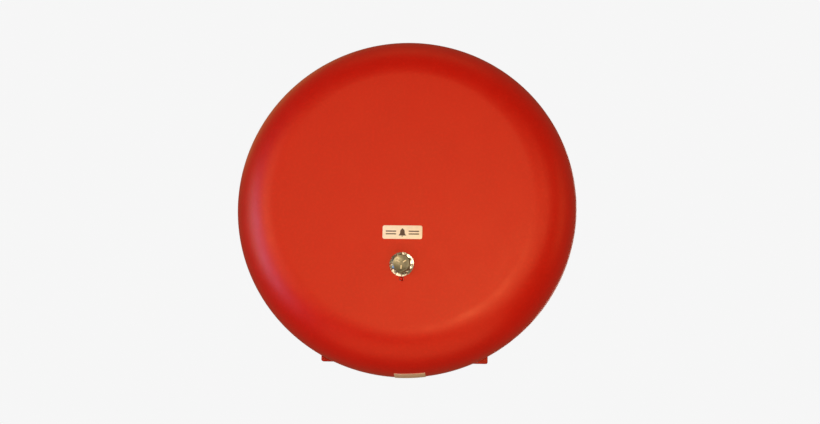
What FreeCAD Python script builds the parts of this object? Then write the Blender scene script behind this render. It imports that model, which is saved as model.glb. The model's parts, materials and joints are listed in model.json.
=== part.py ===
import FreeCAD, Part
import math
import os
import re
import Sketcher
from FreeCAD import Placement, Rotation, Vector

# Fire alarm bell: a 10 inch gong struck from inside by a motor-driven striker, on a square back box.
#
# Frame: the origin is the centre of the back box's rear face, which lies on the wall. +Z is up and -Y
# points out of the wall. "Depth" is the distance out from the wall, so a point at depth d has y = -d.
# The gong's bolt is on the axis x = 0, z = 0, and the gong's own centre is above it.

SIZES = {
    # gong
    "gong_radius": 127.0,
    "gong_height": 37.0,
    "gong_wall": 1.8,
    "gong_shoulder": 34.0,
    "gong_offset": 48.65,
    "rim_depth": 57.5,
    # gong fastening
    "bolt_radius": 3.9,
    "bolt_length": 17.0,
    "bolt_flats": 12.7,
    "bolt_head": 5.2,
    "washer_radius": 8.8,
    "washer_thick": 1.2,
    "isolator_radius": 14.0,
    "isolator_thick": 1.0,
    "pin_radius": 1.25,
    "pin_drop": 10.5,
    "pin_length": 14.5,
    # labels
    "label_width": 28.7,
    "label_height": 9.9,
    "label_rise": 23.45,
    "label_thick": 0.4,
    "rim_label_width": 22.8,
    "rim_label_wrap": 18.5,
    "rim_label_turn": 2.6,
    # back box
    "box_side": 116.0,
    "box_depth": 43.0,
    "box_wall": 3.0,
    "box_back": 3.5,
    "box_corner": 2.5,
    "post_side": 9.5,
    "tap_radius": 1.75,
    "tap_depth": 14.0,
    "ground_boss_radius": 4.5,
    "ground_boss_height": 6.0,
    "ground_x": -42.0,
    "ground_z": 32.0,
    "plug_boss_height": 6.5,
    "lid_screw_pitch": 102.0,
    "wall_screw_pitch": 76.0,
    "wall_screw_hole": 2.75,
    "conduit_radius": 10.2,
    "hub_radius": 14.0,
    "hub_bottom": 66.0,
    "hub_depth": 23.0,
    "gasket_thick": 1.5,
    "gasket_width": 12.0,
    "plate_thick": 3.0,
    "plate_half": 62.0,
    "plate_bottom": 66.4,
    "plate_corner": 1.5,
    "lid_screw_hole": 2.2,
    # casting
    "base_thick": 3.0,
    "base_half": 39.0,
    "base_top": 39.0,
    "base_bottom": 58.0,
    "post_radius": 7.0,
    "flange_radius": 15.0,
    "flange_depth": 80.0,
    # cover
    "cover_half": 41.5,
    "cover_top": 41.5,
    "cover_bottom": 60.5,
    "cover_depth": 84.0,
    "cover_wall": 2.0,
    "cover_lip": 6.5,
    # gear train
    "gear_module": 0.8,
    "gear_teeth": 48.0,
    "pinion_teeth": 12.0,
    "gear_drop": 30.0,
    "gear_depth": 73.8,
    "gear_width": 3.8,
    "mesh_angle": 140.0,
    "axle_radius": 1.5,
    "running_gap": 0.03,
    "cam_radius": 5.8,
    "cam_throw": 2.2,
    "cam_width": 8.0,
    "cam_hub": 2.6,
    # striker
    "striker_depth": 62.5,
    "striker_top": 38.3,
    "rod_radius": 2.5,
    "tip_radius": 4.5,
    "tip_top": 66.6,
    "tip_bottom": 72.3,
    "bush_radius": 4.5,
    "bush_top": 50.0,
    "bush_bottom": 59.0,
    "collar_top": 39.3,
    "collar_thick": 2.0,
    "spring_radius": 3.6,
    "spring_wire": 0.35,
    # motor
    "motor_radius": 12.5,
    "motor_back": 51.5,
    "motor_front": 71.5,
    "cap_thick": 3.0,
    "can_wall": 0.8,
    "shaft_radius": 1.0,
    # wiring
    "board_back": 38.4,
    "board_thick": 1.6,
    "board_half": 36.0,
    "board_top": 22.0,
    "board_bottom": 14.0,
    "board_hole": 1.4,
    "standoff_radius": 2.5,
    "block_height": 11.0,
    "terminal_rise": 3.0,
    "grommet_x": 30.0,
    "grommet_z": 8.0,
    "lead_radius": 0.7,
    "lead_spread": 1.2,
}

# depths of the stack between the wall and the gong, from the driving sizes
PLATE_BACK = "box_depth + gasket_thick"
PLATE_FRONT = "box_depth + gasket_thick + plate_thick"
BASE_FRONT = "box_depth + gasket_thick + plate_thick + base_thick"
FACE_DEPTH = "rim_depth + gong_height"
SEAT_DEPTH = "rim_depth + gong_height - gong_wall - isolator_thick"
HEAD_DEPTH = "rim_depth + gong_height + washer_thick"

# the motor's axis, one centre distance from the gear's along the mesh angle
CENTRES = "gear_module * (gear_teeth + pinion_teeth) / 2"
MOTOR_X = f"({CENTRES}) * cos(mesh_angle)"
MOTOR_Z = f"({CENTRES}) * sin(mesh_angle) - gear_drop"

doc = FreeCAD.newDocument("FireAlarmBell")
sheet = doc.addObject("Spreadsheet::Sheet", "Sizes")
for row, (alias, value) in enumerate(SIZES.items(), start=1):
    sheet.set(f"A{row}", alias)
    sheet.set(f"B{row}", str(value))
    sheet.setAlias(f"B{row}", alias)
doc.recompute()

subparts = []


def size(alias):
    """A driving dimension as a number, for the few shapes that are worked out in code."""
    return float(sheet.get(alias))


def bound(expression):
    """The expression with every sheet alias written as a reference to the sheet."""
    def reference(word):
        return "Sizes." + word.group() if word.group() in SIZES else word.group()
    return re.sub(r"[a-z_]+", reference, str(expression))


def bind(obj, **expressions):
    """Bind properties such as Length or Placement_Base_x to the sheet."""
    for name, expression in expressions.items():
        obj.setExpression(name.replace("_", "."), bound(expression))
    return obj


def place(obj, x="0", depth="0", z="0"):
    return bind(obj, Placement_Base_x=x, Placement_Base_y=f"-({depth})", Placement_Base_z=z)


def keep(obj, label):
    """Name a finished sub-part."""
    obj.Label = label
    subparts.append(obj)
    return obj


# ---------------------------------------------------------------- PartDesign helpers

def new_body(label):
    body = doc.addObject("PartDesign::Body", label + "_body")
    body.AllowCompound = True
    return keep(body, label)


def new_sketch(body, role="XZ_Plane", offset="0"):
    """A sketch on an origin plane. On XZ_Plane its y is world Z and its offset is a depth."""
    plane = next(item for item in body.Origin.OriginFeatures if item.Role == role)
    sketch = body.newObject("Sketcher::SketchObject", "Sketch")
    sketch.AttachmentSupport = [(plane, "")]
    sketch.MapMode = "FlatFace"
    bind(sketch, AttachmentOffset_Base_z=offset)
    return sketch


def constrain(sketch, kind, geometry, *rest, to):
    """Add a driving constraint whose value follows an expression."""
    index = sketch.addConstraint(Sketcher.Constraint(kind, geometry, *rest, 1.0))
    sketch.setExpression(f"Constraints[{index}]", bound(to))


def draw_circle(sketch, radius, x="0", y="0"):
    circle = sketch.addGeometry(Part.Circle(Vector(1, 1, 0), Vector(0, 0, 1), 1.0), False)
    constrain(sketch, "Radius", circle, to=radius)
    constrain(sketch, "DistanceX", circle, 3, to=x)
    constrain(sketch, "DistanceY", circle, 3, to=y)


def draw_polygon(sketch, corners):
    """A closed outline through corners given as pairs of expressions."""
    count = len(corners)
    turn = 2 * math.pi / count
    start = [Vector(math.cos(i * turn), math.sin(i * turn), 0) for i in range(count)]
    lines = [
        sketch.addGeometry(Part.LineSegment(start[i], start[(i + 1) % count]), False)
        for i in range(count)
    ]
    for i in range(count):
        following = lines[(i + 1) % count]
        sketch.addConstraint(Sketcher.Constraint("Coincident", lines[i], 2, following, 1))
    for line, (x, y) in zip(lines, corners):
        constrain(sketch, "DistanceX", line, 1, to=x)
        constrain(sketch, "DistanceY", line, 1, to=y)


def draw_rectangle(sketch, left, right, bottom, top):
    draw_polygon(sketch, [(left, bottom), (right, bottom), (right, top), (left, top)])


def pad(body, sketch, length):
    feature = body.newObject("PartDesign::Pad", "Pad")
    feature.Profile = sketch
    return finish(body, bind(feature, Length=length))


def pocket(body, sketch, length, outward=False):
    """Cut a sketch towards the wall, or away from it when outward is set."""
    before = body.Shape.Volume
    feature = body.newObject("PartDesign::Pocket", "Pocket")
    feature.Profile = sketch
    feature.Reversed = outward
    finish(body, bind(feature, Length=length))
    if body.Shape.Volume >= before:
        raise RuntimeError(f"{body.Label}: a pocket cuts nothing")
    return feature


def revolve(body, sketch, angle="360"):
    feature = body.newObject("PartDesign::Revolution", "Revolution")
    feature.Profile = sketch
    feature.ReferenceAxis = (sketch, ["V_Axis"])
    return finish(body, bind(feature, Angle=angle))


def finish(body, feature):
    """Make a new feature the body's result."""
    body.Tip = feature
    doc.recompute()
    return feature


def fillet(body, radius, chosen):
    """Round the edges of the body's last feature for which chosen(edge) is true."""
    base = body.Tip
    names = [f"Edge{i}" for i, edge in enumerate(base.Shape.Edges, start=1) if chosen(edge)]
    if not names:
        raise RuntimeError(f"{body.Label}: no edge to round")
    feature = body.newObject("PartDesign::Fillet", "Round")
    feature.Base = (base, names)
    return finish(body, bind(feature, Radius=radius))


def runs_along(edge, axis):
    """Whether an edge is straight and parallel to an axis."""
    if edge.Curve.TypeId != "Part::GeomLine":
        return False
    return abs(edge.tangentAt(edge.FirstParameter).dot(axis)) > 0.999


def depth_edge(edge):
    return runs_along(edge, Vector(0, 1, 0))


def on_corner(edge, half, bottom):
    """Whether a depth-wise edge is at a corner of the rectangle from -bottom up to half."""
    point = edge.Vertexes[0].Point
    level = half if point.z > 0 else bottom
    return depth_edge(edge) and abs(abs(point.x) - half) < 0.01 and abs(abs(point.z) - level) < 0.01


def at_depth(edge, depth):
    return all(abs(vertex.Y + depth) < 0.001 for vertex in edge.Vertexes)


def turned(label, outline, x="0", z="0"):
    """A piece turned about an axis along the depth. Its outline lists (radius, depth) corners."""
    body = new_body(label)
    sketch = new_sketch(body, "XY_Plane")
    draw_polygon(sketch, [(radius, f"-({depth})") for radius, depth in outline])
    revolve(body, sketch)
    place(body, x=x, z=z)
    return body


def turned_upright(label, outline):
    """A piece turned about the striker's upright axis. Its outline lists (radius, z) corners."""
    body = new_body(label)
    sketch = new_sketch(body, "XZ_Plane")
    draw_polygon(sketch, outline)
    revolve(body, sketch)
    place(body, depth="striker_depth")
    return body


def ring(label, outer, inner, back, front, x="0", z="0"):
    return turned(label, [(inner, back), (outer, back), (outer, front), (inner, front)], x, z)


# ---------------------------------------------------------------- Part helpers

def cylinder(radius, length, x="0", depth="0", z="0", along="depth"):
    """A bar that starts at the point and runs out from the wall, or along X or Z."""
    bar = doc.addObject("Part::Cylinder", "Bar")
    turns = {"depth": Rotation(Vector(1, 0, 0), 90), "x": Rotation(Vector(0, 1, 0), 90), "z": Rotation()}
    bar.Placement = Placement(Vector(), turns[along])
    bind(bar, Radius=radius, Height=length)
    return place(bar, x, depth, z)


def block(left, right, back, front, bottom, top):
    """A block between pairs of X, depth and Z limits."""
    box = doc.addObject("Part::Box", "Block")
    bind(box, Length=f"({right}) - ({left})", Width=f"({front}) - ({back})", Height=f"({top}) - ({bottom})")
    return place(box, left, front, bottom)


def joined(pieces):
    result = doc.addObject("Part::MultiFuse", "Joined")
    result.Shapes = pieces
    return result


def cut(base, tool):
    result = doc.addObject("Part::Cut", "Cut")
    result.Base = base
    result.Tool = tool
    return result


def group(label, pieces):
    """Identical pieces that share one node as separate solids."""
    result = doc.addObject("Part::Compound", label + "_group")
    result.Links = pieces
    return keep(result, label)


def screw(x, depth, z, shank, length, head, outward=True):
    """A pan head screw with a cross recess. Depth is where the underside of its head sits."""
    height = f"({head}) * 0.6"
    back = depth if outward else f"({depth}) - {height}"
    cap = doc.addObject("Part::Cone", "Head")
    cap.Placement = Placement(Vector(), Rotation(Vector(1, 0, 0), 90))
    wide, narrow = head, f"({head}) * 0.78"
    bind(cap, Radius1=wide if outward else narrow, Radius2=narrow if outward else wide, Height=height)
    place(cap, x, back, z)
    thread = cylinder(shank, length, x, f"({depth}) - ({length})" if outward else depth, z)
    face = f"({depth}) + {height}" if outward else f"({depth}) - {height}"
    slots = []
    for wide_half, tall_half in ((f"({head}) * 0.55", "0.4"), ("0.4", f"({head}) * 0.55")):
        slots.append(block(f"({x}) - {wide_half}", f"({x}) + {wide_half}", f"({face}) - {height} / 2",
                           f"({face}) + {height} / 2", f"({z}) - {tall_half}", f"({z}) + {tall_half}"))
    return cut(joined([cap, thread]), joined(slots))


def screws(label, places, depth, shank, length, head, outward=True):
    return group(label, [screw(x, depth, z, shank, length, head, outward) for x, z in places])


def four_corners(half_x, top, bottom):
    return [(f"{sign}({half_x})", z) for sign in ("-", "") for z in (top, bottom)]


def tube(path, radius, start, direction):
    """A round bar swept along line and arc edges."""
    section = Part.Wire(Part.makeCircle(radius, start, direction))
    return Part.Wire(path).makePipeShell([section], True, True)


def shaped(label, shape, placement=None):
    feature = doc.addObject("Part::Feature", label + "_shape")
    feature.Shape = shape
    feature.Placement = placement or Placement()
    return keep(feature, label)


def outward_at(x, depth, z):
    """Placement that lays a shape drawn on XY against the wall plane and lifts it to a depth."""
    return Placement(Vector(x, -depth, z), Rotation(Vector(1, 0, 0), 90))


# ---------------------------------------------------------------- gong and its fastening

def make_gong():
    body = new_body("gong")
    sketch = new_sketch(body, offset="rim_depth")
    draw_circle(sketch, "gong_radius", y="gong_offset")
    pad(body, sketch, "gong_height")
    face = size("rim_depth") + size("gong_height")
    fillet(body, "gong_shoulder", lambda edge: at_depth(edge, face))
    solid = body.Tip
    open_side = next(
        f"Face{i}" for i, side in enumerate(solid.Shape.Faces, start=1)
        if abs(side.CenterOfMass.y + size("rim_depth")) < 0.01
    )
    shell = body.newObject("PartDesign::Thickness", "Shell")
    shell.Base = (solid, [open_side])
    shell.Reversed = True
    finish(body, bind(shell, Value="gong_wall"))
    fillet(body, "gong_wall * 0.3", lambda edge: at_depth(edge, size("rim_depth")))
    holes = new_sketch(body, offset=FACE_DEPTH)
    draw_circle(holes, "bolt_radius + 0.5")
    draw_circle(holes, "pin_radius + 0.75", y="-pin_drop")
    pocket(body, holes, "gong_wall + 1")


def make_isolating_washer():
    body = new_body("gong_washer")
    sketch = new_sketch(body, offset=SEAT_DEPTH)
    draw_circle(sketch, "isolator_radius")
    draw_circle(sketch, "bolt_radius + 0.5")
    draw_circle(sketch, "pin_radius + 0.75", y="-pin_drop")
    pad(body, sketch, "isolator_thick")


def make_lock_washer():
    """External tooth washer: a ring with twisted teeth round its edge."""
    body = new_body("lock_washer")
    sketch = new_sketch(body, offset=FACE_DEPTH)
    draw_circle(sketch, "washer_radius")
    draw_circle(sketch, "bolt_radius + 0.3")
    pad(body, sketch, "washer_thick")
    gap = new_sketch(body, offset=HEAD_DEPTH)
    draw_polygon(gap, [("-0.45", "washer_radius * 0.78"), ("0.45", "washer_radius * 0.78"),
                       ("0.75", "washer_radius + 1"), ("-0.75", "washer_radius + 1")])
    notch = pocket(body, gap, "washer_thick + 0.5")
    pattern = body.newObject("PartDesign::PolarPattern", "Teeth")
    pattern.Originals = [notch]
    pattern.Axis = (gap, ["N_Axis"])
    pattern.Angle = 360
    pattern.Occurrences = 12
    finish(body, pattern)


def make_bolt():
    """Hexagon bolt with a chamfered head and three raised radial grade lines."""
    prism = doc.addObject("Part::Prism", "Hexagon")
    prism.Polygon = 6
    upright = Rotation(Vector(1, 0, 0), 90)
    prism.Placement = Placement(Vector(), upright.multiply(Rotation(Vector(0, 0, 1), 30)))
    bind(prism, Circumradius="bolt_flats / 2 / cos(30)", Height="bolt_head")
    place(prism, depth=HEAD_DEPTH)
    chamfer = doc.addObject("Part::Cone", "HeadChamfer")
    chamfer.Placement = Placement(Vector(), Rotation(Vector(1, 0, 0), 90))
    bind(chamfer, Radius1="bolt_flats / 2 + 7", Radius2="bolt_flats / 2 - 0.5", Height="bolt_head")
    place(chamfer, depth=HEAD_DEPTH)
    head = doc.addObject("Part::Common", "Head")
    head.Base = prism
    head.Tool = chamfer
    shank = cylinder("bolt_radius", "bolt_length", depth=f"{HEAD_DEPTH} - bolt_length")
    marks = []
    for angle in (30, 150, 270):
        mark = doc.addObject("Part::Box", "GradeLine")
        mark.Placement = Placement(Vector(), Rotation(Vector(0, -1, 0), angle))
        bind(mark, Length="bolt_flats * 0.26", Width="0.6", Height="0.8")
        inward = f"bolt_flats * 0.12 * cos({angle}) + 0.4 * sin({angle})"
        upward = f"bolt_flats * 0.12 * sin({angle}) - 0.4 * cos({angle})"
        marks.append(place(mark, inward, f"{HEAD_DEPTH} + bolt_head + 0.3", upward))
    keep(joined([head, shank] + marks), "gong_bolt")


def make_locating_pin():
    start = f"{FACE_DEPTH} + 1.9 - pin_length"
    end = f"{FACE_DEPTH} + 1.9"
    turned("locating_pin", [("0", start), ("pin_radius", start), ("pin_radius", f"{end} - 0.5"),
                            ("pin_radius * 0.6", end), ("0", end)], z="-pin_drop")


def make_name_label():
    body = new_body("nameplate_label")
    sketch = new_sketch(body, offset=FACE_DEPTH)
    draw_rectangle(sketch, "-label_width / 2", "label_width / 2",
                   "label_rise - label_height / 2", "label_rise + label_height / 2")
    pad(body, sketch, "label_thick")
    fillet(body, "1.4", depth_edge)


def make_rim_label():
    """Thin strip a little to one side of the skirt's lowest point, wrapped forward on to the shoulder."""
    radius, bend, thick = size("gong_radius"), size("gong_shoulder"), size("label_thick")
    rim, front = -size("rim_depth") - 0.8, bend - size("rim_depth") - size("gong_height")
    wrap = -math.radians(size("rim_label_wrap"))
    middle = Vector(radius - bend, front, 0)

    def on_arc(reach, angle):
        return middle + Vector(reach * math.cos(angle), reach * math.sin(angle), 0)

    outer, inner = bend + thick, bend
    edges = [
        Part.LineSegment(Vector(radius, rim, 0), Vector(radius + thick, rim, 0)),
        Part.LineSegment(Vector(radius + thick, rim, 0), on_arc(outer, 0)),
        Part.Arc(on_arc(outer, 0), on_arc(outer, wrap / 2), on_arc(outer, wrap)),
        Part.LineSegment(on_arc(outer, wrap), on_arc(inner, wrap)),
        Part.Arc(on_arc(inner, wrap), on_arc(inner, wrap / 2), on_arc(inner, 0)),
        Part.LineSegment(on_arc(inner, 0), Vector(radius, rim, 0)),
    ]
    profile = Part.Face(Part.Wire([edge.toShape() for edge in edges]))
    spread = math.degrees(size("rim_label_width") / radius)
    strip = profile.revolve(Vector(), Vector(0, 1, 0), spread)
    turn = Rotation(Vector(0, 1, 0), 90 - spread / 2 - size("rim_label_turn"))
    shaped("rim_label", strip, Placement(Vector(0, 0, size("gong_offset")), turn))


# ---------------------------------------------------------------- back box and plate

def make_box_rear():
    """Rear panel with a hole for the spare entry and four for the wall screws."""
    body = new_body("backbox_rear")
    outline = new_sketch(body)
    draw_rectangle(outline, "-box_side / 2", "box_side / 2", "-box_side / 2", "box_side / 2")
    pad(body, outline, "box_back")
    half = size("box_side") / 2
    fillet(body, "box_corner", lambda edge: on_corner(edge, half, half))
    fillet(body, "box_wall / 2", lambda edge: at_depth(edge, 0))
    holes = new_sketch(body, offset="box_back + 1")
    draw_circle(holes, "conduit_radius")
    pitch = "wall_screw_pitch / 2"
    for x, z in four_corners(pitch, pitch, f"-{pitch}"):
        draw_circle(holes, "wall_screw_hole", x, z)
    pocket(body, holes, "box_back + 2")


def make_box_wall(label, left, right, bottom, top):
    body = new_body(label)
    outline = new_sketch(body, offset="box_back")
    draw_rectangle(outline, left, right, bottom, top)
    pad(body, outline, "box_depth - box_back")
    return body


def make_box_walls():
    """Side walls with rounded outer corners, and the top and bottom walls that are welded between them."""
    half, inside = "box_side / 2", "(box_side / 2 - box_wall)"
    outer = size("box_side") / 2
    left = make_box_wall("backbox_left", f"-{half}", f"-{inside}", f"-{half}", half)
    right = make_box_wall("backbox_right", inside, half, f"-{half}", half)
    for wall in (left, right):
        fillet(wall, "box_corner", lambda edge: on_corner(edge, outer, outer))
    make_box_wall("backbox_top", f"-{inside}", inside, inside, half)
    bottom = make_box_wall("backbox_bottom", f"-{inside}", inside, f"-{half}", f"-{inside}")
    hub = new_sketch(bottom, "XY_Plane", offset="-hub_bottom")
    draw_circle(hub, "hub_radius", y="-hub_depth")
    pad(bottom, hub, "hub_bottom - box_side / 2 + box_wall / 2")
    bore = new_sketch(bottom, "XY_Plane", offset="-hub_bottom")
    draw_circle(bore, "conduit_radius", y="-hub_depth")
    pocket(bottom, bore, "hub_bottom - box_side / 2 + box_wall + 1", outward=True)


def make_box_bosses():
    """Tapped posts in the four corners, the spare entry's ring and the earth screw's post."""
    body = new_body("backbox_bosses")
    inside, far = "(box_side / 2 - box_wall)", "(box_side / 2 - box_wall - post_side)"
    posts = new_sketch(body, offset="box_back")
    for left, right in ((f"-{inside}", f"-{far}"), (far, inside)):
        for low, high in ((f"-{inside}", f"-{far}"), (far, inside)):
            draw_rectangle(posts, left, right, low, high)
    pad(body, posts, "box_depth - box_back")
    inner = size("box_side") / 2 - size("box_wall") - size("post_side")
    fillet(body, "post_side * 0.4", lambda edge: on_corner(edge, inner, inner))
    ring_sketch = new_sketch(body, offset="box_back")
    draw_circle(ring_sketch, "hub_radius")
    draw_circle(ring_sketch, "conduit_radius")
    pad(body, ring_sketch, "plug_boss_height")
    ground_boss = new_sketch(body, offset="box_back")
    draw_circle(ground_boss, "ground_boss_radius", "ground_x", "ground_z")
    pad(body, ground_boss, "ground_boss_height")
    taps = new_sketch(body, offset="box_depth")
    for x, z in four_corners("lid_screw_pitch / 2", "lid_screw_pitch / 2", "-lid_screw_pitch / 2"):
        draw_circle(taps, "tap_radius", x, z)
    pocket(body, taps, "tap_depth")
    ground_tap = new_sketch(body, offset="box_back + ground_boss_height")
    draw_circle(ground_tap, "tap_radius", "ground_x", "ground_z")
    pocket(body, ground_tap, "ground_boss_height - 1")


def make_gasket():
    body = new_body("box_gasket")
    sketch = new_sketch(body, offset="box_depth")
    draw_rectangle(sketch, "-box_side / 2", "box_side / 2", "-box_side / 2", "box_side / 2")
    inner = "box_side / 2 - gasket_width"
    draw_rectangle(sketch, f"-({inner})", inner, f"-({inner})", inner)
    pitch = "lid_screw_pitch / 2"
    for x, z in four_corners(pitch, pitch, f"-{pitch}"):
        draw_circle(sketch, "lid_screw_hole", x, z)
    pad(body, sketch, "gasket_thick")
    half = size("box_side") / 2
    fillet(body, "box_corner", lambda edge: on_corner(edge, half, half))


FRAME_SCREWS = [("-34", "34"), ("34", "34"), ("-34", "-42"), ("34", "-42")]
COVER_SCREWS = [("-cover_half - 3.6", "24"), ("cover_half + 3.6", "24"),
                ("-cover_half - 3.6", "-40"), ("cover_half + 3.6", "-40")]
BOARD_SCREWS = [("-32", "18"), ("32", "18"), ("-32", "-10"), ("32", "-10")]


def make_plate():
    """Plate that carries the mechanism and overhangs the box all round, most below."""
    body = new_body("mounting_plate")
    sketch = new_sketch(body, offset=PLATE_BACK)
    draw_rectangle(sketch, "-plate_half", "plate_half", "-plate_bottom", "plate_half")
    pitch = "lid_screw_pitch / 2"
    for x, z in four_corners(pitch, pitch, f"-{pitch}"):
        draw_circle(sketch, "lid_screw_hole", x, z)
    for x, z in FRAME_SCREWS:
        draw_circle(sketch, "1.8", x, z)
    for x, z in COVER_SCREWS:
        draw_circle(sketch, "1.5", x, z)
    for x, z in BOARD_SCREWS:
        draw_circle(sketch, "1.3", x, z)
    draw_circle(sketch, "4.5", "-grommet_x", "grommet_z")
    pad(body, sketch, "plate_thick")
    fillet(body, "plate_corner", lambda edge: on_corner(edge, size("plate_half"), size("plate_bottom")))
    front = size("box_depth") + size("gasket_thick") + size("plate_thick")
    fillet(body, "plate_thick / 5", lambda edge: at_depth(edge, front) and on_outline(edge))


def on_outline(edge):
    """Whether an edge is on the outer outline of the plate."""
    half, bottom = size("plate_half") - 0.01, size("plate_bottom") - 0.01
    return all(abs(vertex.X) > half or vertex.Z > half or vertex.Z < -bottom for vertex in edge.Vertexes)


def make_plug():
    """Threaded plug with a hexagon socket in the unused rear entry."""
    body = new_body("conduit_plug")
    sketch = new_sketch(body, offset="0.5")
    draw_circle(sketch, "conduit_radius - 0.05")
    pad(body, sketch, "9")
    socket = new_sketch(body, offset="5.5")
    corners = [(f"5.5 * cos({60 * i})", f"5.5 * sin({60 * i})") for i in range(6)]
    draw_polygon(socket, corners)
    pocket(body, socket, "5.5")


# ---------------------------------------------------------------- casting and cover

BRACKET_SCREWS = [(f"{MOTOR_X} + 17 * cos({turn})", f"{MOTOR_Z} + 17 * sin({turn})") for turn in (75, 235)]


def make_frame():
    """Casting: base, gong post with its seat flange, motor seat, axle boss and striker guide."""
    body = new_body("mechanism_frame")
    base = new_sketch(body, offset=PLATE_FRONT)
    draw_rectangle(base, "-base_half", "base_half", "-base_bottom", "base_top")
    pad(body, base, "base_thick")
    fillet(body, "6", depth_edge)
    post = new_sketch(body, offset=PLATE_FRONT)
    draw_circle(post, "post_radius")
    pad(body, post, f"{SEAT_DEPTH} - ({PLATE_FRONT})")
    flange = new_sketch(body, offset="flange_depth")
    draw_circle(flange, "flange_radius")
    pad(body, flange, f"{SEAT_DEPTH} - flange_depth")
    seat = new_sketch(body, offset=PLATE_FRONT)
    draw_circle(seat, "motor_radius + 2", MOTOR_X, MOTOR_Z)
    pad(body, seat, "base_thick + 2")
    towers = new_sketch(body, offset=PLATE_FRONT)
    for x, z in BRACKET_SCREWS:
        draw_circle(towers, "3", x, z)
    pad(body, towers, f"motor_front - ({PLATE_FRONT})")
    axle_boss = new_sketch(body, offset=PLATE_FRONT)
    draw_circle(axle_boss, "4", y="-gear_drop")
    pad(body, axle_boss, "base_thick + 5")
    guide = new_sketch(body, offset=PLATE_FRONT)
    draw_rectangle(guide, "-8", "8", "-base_bottom", "-bush_top")
    pad(body, guide, f"striker_depth + 8 - ({PLATE_FRONT})")
    motor_pocket = new_sketch(body, offset=f"{BASE_FRONT} + 3")
    draw_circle(motor_pocket, "motor_radius + 0.05", MOTOR_X, MOTOR_Z)
    pocket(body, motor_pocket, f"{BASE_FRONT} + 3 - motor_back")
    bolt_bore = new_sketch(body, offset=SEAT_DEPTH)
    draw_circle(bolt_bore, "bolt_radius + 0.05")
    pocket(body, bolt_bore, "15")
    pin_bore = new_sketch(body, offset=SEAT_DEPTH)
    draw_circle(pin_bore, "pin_radius", y="-pin_drop")
    pocket(body, pin_bore, "pin_length - 1.9 - gong_wall - isolator_thick")
    taps = new_sketch(body, offset="motor_front")
    for x, z in BRACKET_SCREWS:
        draw_circle(taps, "1.3", x, z)
    pocket(body, taps, "8")
    axle_bore = new_sketch(body, offset=f"{BASE_FRONT} + 6")
    draw_circle(axle_bore, "axle_radius", y="-gear_drop")
    pocket(body, axle_bore, "8")
    base_holes = new_sketch(body, offset=f"{BASE_FRONT} + 1")
    for x, z in FRAME_SCREWS:
        draw_circle(base_holes, "1.5", x, z)
    draw_circle(base_holes, "4.5", "-grommet_x", "grommet_z")
    pocket(body, base_holes, "base_thick + 2")
    guide_bore = new_sketch(body, "XY_Plane", offset="-base_bottom - 1")
    draw_circle(guide_bore, "bush_radius", y="-striker_depth")
    pocket(body, guide_bore, "base_bottom - bush_top + 2", outward=True)


def make_cover():
    """Moulded cover over the mechanism, with a lip that is screwed to the plate."""
    body = new_body("mechanism_cover")
    outline = new_sketch(body, offset=PLATE_FRONT)
    draw_rectangle(outline, "-cover_half", "cover_half", "-cover_bottom", "cover_top")
    pad(body, outline, f"cover_depth - ({PLATE_FRONT})")
    fillet(body, "9", depth_edge)
    front = size("cover_depth")
    fillet(body, "4", lambda edge: at_depth(edge, front))
    lip = new_sketch(body, offset=PLATE_FRONT)
    draw_rectangle(lip, "-cover_half - cover_lip", "cover_half + cover_lip",
                   "-cover_bottom + 12", "cover_top - 9")
    pad(body, lip, "cover_wall")
    cavity = new_sketch(body, offset=PLATE_FRONT)
    draw_rectangle(cavity, "-cover_half + cover_wall", "cover_half - cover_wall",
                   "-cover_bottom + cover_wall", "cover_top - cover_wall")
    pocket(body, cavity, f"cover_depth - cover_wall - ({PLATE_FRONT})", outward=True)
    seat_hole = new_sketch(body, offset="cover_depth + 1")
    draw_circle(seat_hole, "flange_radius + 0.4")
    pocket(body, seat_hole, "cover_wall + 2")
    lip_holes = new_sketch(body, offset=f"{PLATE_FRONT} + cover_wall")
    for x, z in COVER_SCREWS:
        draw_circle(lip_holes, "1.7", x, z)
    pocket(body, lip_holes, "cover_wall + 1")
    striker_hole = new_sketch(body, "XY_Plane", offset="-cover_bottom - 1")
    draw_circle(striker_hole, "tip_radius + 0.6", y="-striker_depth")
    pocket(body, striker_hole, "cover_wall + 2", outward=True)


# ---------------------------------------------------------------- motor

def make_motor_case():
    can_back = "motor_back + cap_thick"
    turned("motor_can", [
        ("motor_radius", can_back), ("motor_radius", "motor_front"), ("3.2", "motor_front"),
        ("3.2", "motor_front - 1"), ("motor_radius - can_wall", "motor_front - 1"),
        ("motor_radius - can_wall", can_back),
    ], MOTOR_X, MOTOR_Z)
    ring("motor_end_cap", "motor_radius", "2.5", "motor_back", can_back, MOTOR_X, MOTOR_Z)
    bushings = []
    for outer, back, length in (("3.2", "motor_front - 1.7", "2.1"), ("2.5", "motor_back", "cap_thick")):
        bar = cylinder(outer, length, MOTOR_X, back, MOTOR_Z)
        bore = cylinder("shaft_radius + running_gap", length, MOTOR_X, back, MOTOR_Z)
        bushings.append(cut(bar, bore))
    group("motor_bushings", bushings)


def make_motor_magnets():
    """Two curved magnets on opposite sides of the can."""
    magnets = []
    for start in (-65, 115):
        arc = doc.addObject("Part::Cylinder", "Magnet")
        turned = Rotation(Vector(1, 0, 0), 90).multiply(Rotation(Vector(0, 0, 1), start))
        arc.Placement = Placement(Vector(), turned)
        bind(arc, Radius="motor_radius - can_wall", Height="12", Angle="130")
        place(arc, MOTOR_X, "motor_front - 14", MOTOR_Z)
        hollow = cylinder("motor_radius - can_wall - 2.4", "12", MOTOR_X, "motor_front - 14", MOTOR_Z)
        magnets.append(cut(arc, hollow))
    group("motor_magnets", magnets)


def around_motor(reach, angle):
    return f"{MOTOR_X} + ({reach}) * cos({angle})", f"{MOTOR_Z} + ({reach}) * sin({angle})"


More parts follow.
